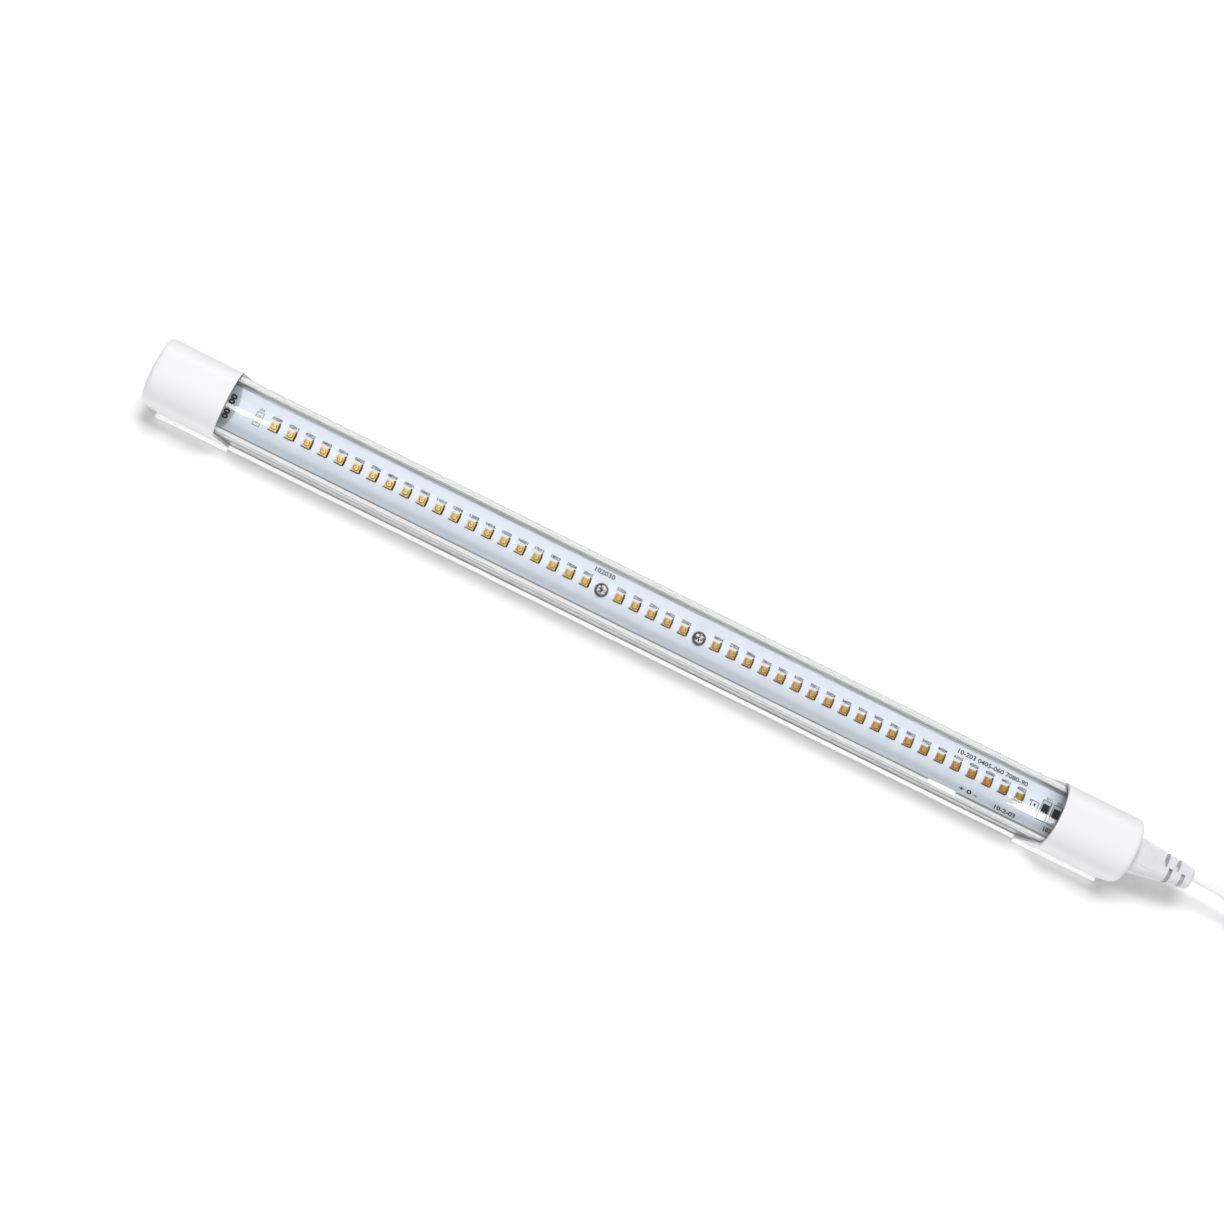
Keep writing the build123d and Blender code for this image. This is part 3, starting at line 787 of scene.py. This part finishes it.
def bars(corners):
    """corners (n, 4) of x0, y0, x1, y1 in millimetres; each is a thin closed block."""
    c = np.asarray(corners, float) * MM
    flat = c[:, np.array([(0, 1), (2, 1), (2, 3), (0, 3)])]
    sides = [np.concatenate([flat, np.full((len(c), 4, 1), z)], axis=2) for z in (INK_LOW, INK_HIGH)]
    points = np.concatenate(sides, axis=1).reshape(-1, 3)
    block = np.array([(3, 2, 1, 0), (4, 5, 6, 7), (0, 1, 5, 4), (1, 2, 6, 5), (2, 3, 7, 6),
                      (3, 0, 4, 7)])
    return points, [(block[None] + 8 * np.arange(len(c))[:, None, None]).reshape(-1, 4)]


def outline(x, y, half_x, half_y, w):
    """Four bars of width w just inside a rectangle round (x, y)."""
    x0, x1, y0, y1 = x - half_x, x + half_x, y - half_y, y + half_y
    return [(x0, y0, x1, y0 + w), (x0, y1 - w, x1, y1), (x0, y0 + w, x0 + w, y1 - w),
            (x1 - w, y0 + w, x1, y1 - w)]


# %% Places of the bars, in millimetres
RESISTOR_X = (198.4, 203.8)
EMPTY_X, CAPACITOR_X = 193.3, -191.0
CORNER = 2.15
led_mm = led_x / MM
marks = [(x - CORNER, -CORNER, x - 1.95, -1.35) for x in led_mm]
marks += [(x - CORNER, -CORNER, x - 1.45, -1.98) for x in led_mm]
for x in RESISTOR_X:
    marks += outline(x, -0.4, 2.2, 4.8, 0.3)
marks += outline(EMPTY_X, 0.0, 1.9, 1.9, 0.3)
marks += outline(CAPACITOR_X, 0.2, 1.7, 3.2, 0.22)
# two specks at the empty place
marks += [(193.0, -0.4, 193.8, 0.9), (190.5, 1.1, 191.1, 1.9)]
print("bars", len(marks))

# %% Polarity dots
DOT_STEPS, DOT_RADIUS, PINHOLE = 10, 0.5 * MM, 0.0002 * MM
DOT_PLACE = np.array([1.95, 2.35, 0.0]) * MM
dot_profile = np.array([(PINHOLE, INK_LOW), (DOT_RADIUS, INK_LOW), (DOT_RADIUS, INK_HIGH),
                        (PINHOLE, INK_HIGH)])
dots = repeat_at(turned(dot_profile, DOT_STEPS), swept_faces(DOT_STEPS, 4, ring=True),
                 led_places + DOT_PLACE)
print("dots", len(led_places))


# %% Figures as meshes
def figures(words, x, y, width, height, turn=0.0, bold=0.0):
    """A line of figures, point = (x, y) + turned(font point x (width, height)), in mm."""
    curve = bpy.data.curves.new("figures", "FONT")
    curve.body = words
    curve.size = 1.0
    curve.resolution_u = 2
    curve.offset = bold
    curve.align_x, curve.align_y = "CENTER", "CENTER"
    holder = bpy.data.objects.new("figures", curve)
    bpy.context.scene.collection.objects.link(holder)
    bpy.context.view_layer.update()
    depsgraph = bpy.context.evaluated_depsgraph_get()
    mesh = bpy.data.meshes.new_from_object(holder.evaluated_get(depsgraph))
    co = np.empty(len(mesh.vertices) * 3)
    mesh.vertices.foreach_get("co", co)
    co = co.reshape(-1, 3)
    low, high = co.min(0), co.max(0)
    co = (co - (low + high) / 2) / np.maximum(high - low, 1e-9)
    co *= (width * MM, height * MM, 0.0)
    c, s = math.cos(math.radians(turn)), math.sin(math.radians(turn))
    flat = np.column_stack([co[:, 0] * c - co[:, 1] * s + x * MM,
                            co[:, 0] * s + co[:, 1] * c + y * MM, np.full(len(co), INK_HIGH)])
    loops = [np.array([p.vertices]) for p in mesh.polygons]
    bpy.data.objects.remove(holder)
    bpy.data.meshes.remove(mesh)
    return flat, loops


# %% Lines of figures: words, x, y, width, height, turn and boldness
lines = [(f"{n + 1:02d}0{n % 3}{n % 7}", x, 3.9, 4.5, 1.55, 0.0, 0.028)
         for n, x in enumerate(led_mm)]
lines += [
    ("00  00", -204.6, -0.3, 11.9, 3.1, 90.0, 0.055),
    ("102030", -24.6, 7.6, 9.8, 2.3, 0.0, 0.02),
    ("10-203 0405-060 7080-90", 169.4, 6.95, 35.0, 2.3, 0.0, 0.022),
    ("10-2-03", 182.2, -8.5, 10.4, 2.1, 0.0, 0.035),
    ("1020", 204.0, -7.6, 5.4, 2.1, 0.0, 0.035),
    ("+ 0 -", 163.4, -7.8, 9.0, 2.0, 0.0, 0.03),
    ("01", 198.4, 5.4, 2.0, 1.2), ("02", 203.8, 5.4, 2.0, 1.2), ("03", -191.0, 4.6, 2.2, 1.3),
]
points, faces = joined([bars(marks), dots] + [figures(*line) for line in lines])
make_piece("board_printing", points, faces, "board", ink)

# %% [markdown]
# ## Edges of the extrusion
# Along each side of the tube the flat foot rail gets a thin white sheet of painted light over
# the clear plastic, and the caps' feet get the same. A dark line of painted shade follows each
# edge of the board where it sits in its groove, beside the groove's white lip, and glue lies
# along the front edge. Each is one small profile carried along X, and its width wanders a little, as
# glue does.

# %% Profiles carried along the tube
def along(profile, x0, x1, steps, wander, seed):
    """Point(i, j) = (x_i, y_j, z_j), y drawn towards the profile's middle by smooth noise."""
    x = np.linspace(x0, x1, steps)
    noise = np.random.default_rng(seed).random(steps + 8)
    noise = np.convolve(noise, np.full(9, 1 / 9), mode="valid") * 2.0 - 1.0
    middle = profile[:, 0].mean()
    y = middle + (profile[:, 0] - middle)[None, :] * (1.0 + wander * noise)[:, None]
    grid = np.stack([np.broadcast_to(x[:, None], y.shape), y,
                     np.broadcast_to(profile[:, 1], y.shape)], axis=2)
    return grid.reshape(-1, 3)


def carried(name, profiles, x_ends, slot, material, steps=220, wander=0.0):
    """Several profiles carried along the tube as one piece, each with its own wandering."""
    parts = [(along(profile, *x_ends, steps, wander, seed), swept_faces(steps, len(profile)))
             for seed, profile in enumerate(profiles, start=3)]
    return make_piece(name, *joined(parts), slot, material)


def both_sides(profile):
    """A profile of the front side and its mirror image at the back, both facing outwards."""
    return [profile[::-1], profile * (-1.0, 1.0)]


def strips(sides, low, high):
    """Flat bars between each y0 and y1, in millimetres, turned so that they face outwards."""
    return [np.array([(y0, low), (y0, high), (y1, high), (y1, low)]) * MM for y0, y1 in sides]


# %% Painted light on the rails
# One white: painted light on the rails and feet, and the own colour of the glue bead.
light_and_glue_white = finish("painted_light_and_glue_white", (0.96, 0.96, 0.95), 0.35, mottle=0.02, dust=0.02)
tube_low, tube_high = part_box("clear_tube")
RAIL_X = (tube_low.x + 0.5 * MM, tube_high.x - 0.5 * MM)
# in millimetres: the painted light sheet's thickness, and the rail's outer side, top, underside,
# the place where its fillet runs into the dome, and how far the sheet reaches in below
SHEET = 0.07
RAIL_SIDE, RAIL_TOP, RAIL_LOW = 15.9, 2.0, 0.8
RAIL_ROOT, RAIL_FILLET, RAIL_UNDER = 14.35, 2.7, 14.9
rail_light_sheet = np.array([
    (-RAIL_ROOT, RAIL_TOP), (-RAIL_ROOT, RAIL_FILLET),
    (-RAIL_SIDE - SHEET, RAIL_TOP + SHEET), (-RAIL_SIDE - SHEET, RAIL_LOW - SHEET),
    (-RAIL_UNDER, RAIL_LOW - SHEET), (-RAIL_UNDER, RAIL_LOW),
    (-RAIL_SIDE, RAIL_LOW), (-RAIL_SIDE, RAIL_TOP)]) * MM
painted_light_sheets = [carried("rail_painted_light_sheets", both_sides(rail_light_sheet), RAIL_X, "white_cap", light_and_glue_white)]

# %% Painted light on the feet of the caps
# Painted light: white sheets on the caps' feet.
FOOT_TOP, FOOT_SIDE, FOOT_LOW = 2.6, 17.2, 0.1
CAP_SIDE, FOOT_FILLET = 15.6, 0.35
FEET = {"left": (-232.5 * MM, -197.8 * MM), "right": (193.1 * MM, 235.0 * MM)}
foot_light_sheet = np.array([
    (-CAP_SIDE, FOOT_TOP), (-CAP_SIDE, FOOT_TOP + FOOT_FILLET),
    (-FOOT_SIDE - SHEET, FOOT_TOP + SHEET), (-FOOT_SIDE - SHEET, FOOT_LOW),
    (-FOOT_SIDE, FOOT_LOW), (-FOOT_SIDE, FOOT_TOP)]) * MM
for end, foot_x in FEET.items():
    painted_light_sheets.append(carried(f"{end}_foot_painted_light_sheets", both_sides(foot_light_sheet), foot_x, "white_cap", light_and_glue_white,
                         steps=60))

# %% Painted shade lines, glue and white lips of the grooves
# A dark grey for the painted shade lines along the board's edges and for the glue.
shade_and_glue_grey = finish("groove_line", (0.16, 0.17, 0.18), 0.6, mottle=0.5, mottle_scale=250.0)
lip_white = finish("lip_white", (0.74, 0.735, 0.73), 0.35, mottle=0.08, mottle_scale=200.0)
LIP = board_top / MM + 1.1  # the lips' height, in millimetres
GROOVE_X = (-221.5 * MM, 215.5 * MM)
GLUE_X = (158.0 * MM, 206.0 * MM)
BEAD_X = (144.6 * MM, 158.3 * MM)
# Dark lines of painted shade along both edges of the board.
SHADE_LINES = [(-10.9, -10.45), (-12.6, -12.4), (10.45, 10.85), (11.3, 11.65)]
LIPS = [(-12.25, -11.0), (11.75, 12.5)]
GLUE, BEAD = [(-11.2, -10.3)], [(-12.3, -10.4)]
carried("groove_lines", strips(SHADE_LINES, LIP, LIP + 0.05), GROOVE_X, "board", shade_and_glue_grey, wander=0.5)
carried("groove_glue", strips(GLUE, LIP + 0.06, LIP + 0.1), GLUE_X, "board", shade_and_glue_grey,
        steps=40, wander=0.6)
carried("lip_skins", strips(LIPS, LIP, LIP + 0.04), GROOVE_X, "white_cap", lip_white, wander=0.1)
carried("lip_bead", strips(BEAD, LIP + 0.12, LIP + 0.35), BEAD_X, "white_cap", light_and_glue_white,
        steps=24, wander=0.3)

# %% [markdown]
# ## The studio
# The light lies on a white floor under a pale sky that darkens towards the horizon. The floor
# is wide, so that its edge is far off, and lies a hair under the feet so that they don't meet.

# %% Floor
FLOOR_DROP = 0.2 * MM
FLOOR_REACH = 6.0
floor_mesh = bpy.data.meshes.new("floor")
floor_corners = [(x * FLOOR_REACH, y * FLOOR_REACH, -FLOOR_DROP)
                 for x, y in ((-1, -1), (1, -1), (1, 1), (-1, 1))]
floor_mesh.from_pydata(floor_corners, [], [(0, 1, 2, 3)])
floor = bpy.data.objects.new("floor", floor_mesh)
bpy.context.scene.collection.objects.link(floor)
floor_mesh.materials.append(finish("white_floor", (0.96, 0.96, 0.96), 0.8, mottle=0.0, dust=0.0))
print("floor reaches", FLOOR_REACH, "m")

# %% Sky
SKY_HEIGHT, SKY_TONE = (0.05, 0.55), (0.22, 1.0)
world = bpy.data.worlds.new("sky")
world.use_nodes = True
sky = world.node_tree
backdrop = sky.nodes["Background"]
direction = add(sky, "ShaderNodeTexCoord")
height = axes_of(sky, direction.outputs["Generated"])["Z"]
sky.links.new(ramp(sky, height, SKY_HEIGHT, SKY_TONE), backdrop.inputs["Color"])
backdrop.inputs["Strength"].default_value = 0.25
bpy.context.scene.world = world
bpy.context.scene.view_settings.view_transform = "Standard"
print("sky strength", backdrop.inputs["Strength"].default_value)

# %% [markdown]
# ## The lamps
# One big soft lamp hangs above and a little behind the light, so that the shade falls in a
# narrow soft band along the front, and a weaker one fills that shade from the front. Their
# light already reaches the board by shadow rays, so the lamps are hidden from rays that pass
# through the tube, which would count them twice.

# %% The soft lamps
CENTRE = (0.0, 0.0, 0.0)


def lamp(name, place, aim, size, power, long_axis=(0.0, 1.0, 0.0), mirrored=False):
    """A rectangle of light at `place` facing `aim`, its long side nearest to long_axis."""
    data = bpy.data.lights.new(name, "AREA")
    data.shape = "RECTANGLE"
    data.size, data.size_y = size
    data.energy = power
    obj = bpy.data.objects.new(name, data)
    bpy.context.scene.collection.objects.link(obj)
    away = (Vector(place) - Vector(aim)).normalized()
    side = Vector(long_axis).cross(away).normalized()
    axes = Matrix((side, away.cross(side), away)).transposed().to_4x4()
    obj.matrix_world = Matrix.Translation(place) @ axes
    obj.visible_camera = False
    obj.visible_transmission = False
    obj.visible_glossy = mirrored
    print(name, power, "watts")
    return obj


lamp("top_softbox", (-0.1, 0.86, 1.48), CENTRE, (1.1, 0.8), 33.5)
lamp("front_fill", (0.0, -1.6, 0.52), CENTRE, (1.6, 0.5), 16.0, long_axis=(0.0, 0.0, 1.0))

# %% [markdown]
# The painted light sheets on the rails and feet stand in the shade of the tube and would look
# dull beside the surface they lie on. A third soft lamp from the front is linked to them alone.

# %% The lamp for the rims
rims = bpy.data.collections.new("rims")
for sheet_piece in painted_light_sheets:
    rims.objects.link(sheet_piece)
rim_lamp = lamp("rim_fill", (0.0, -1.0, 1.2), CENTRE, (1.2, 0.6), 7.5)
rim_lamp.light_linking.receiver_collection = rims

# %% [markdown]
# Two narrow strip lamps are there only for their mirror images: they put a thin white glint
# on the clear dome beside the left cap and a broad one beside the right cap. A round tube
# squeezes an image across itself, so the strips are long across the tube.

# %% Strip lamps for the glints
lamp("left_strip", (-0.312, -0.230, 1.227), (-0.195, -0.0025, 0.027), (0.041, 0.33), 0.5,
     long_axis=(0.0, 0.982, 0.186), mirrored=True)
lamp("right_strip", (0.548, -0.810, 1.226), (0.1919, -0.0052, 0.0261), (0.043, 0.82), 1.3,
     long_axis=(0.0, 0.830, 0.557), mirrored=True)
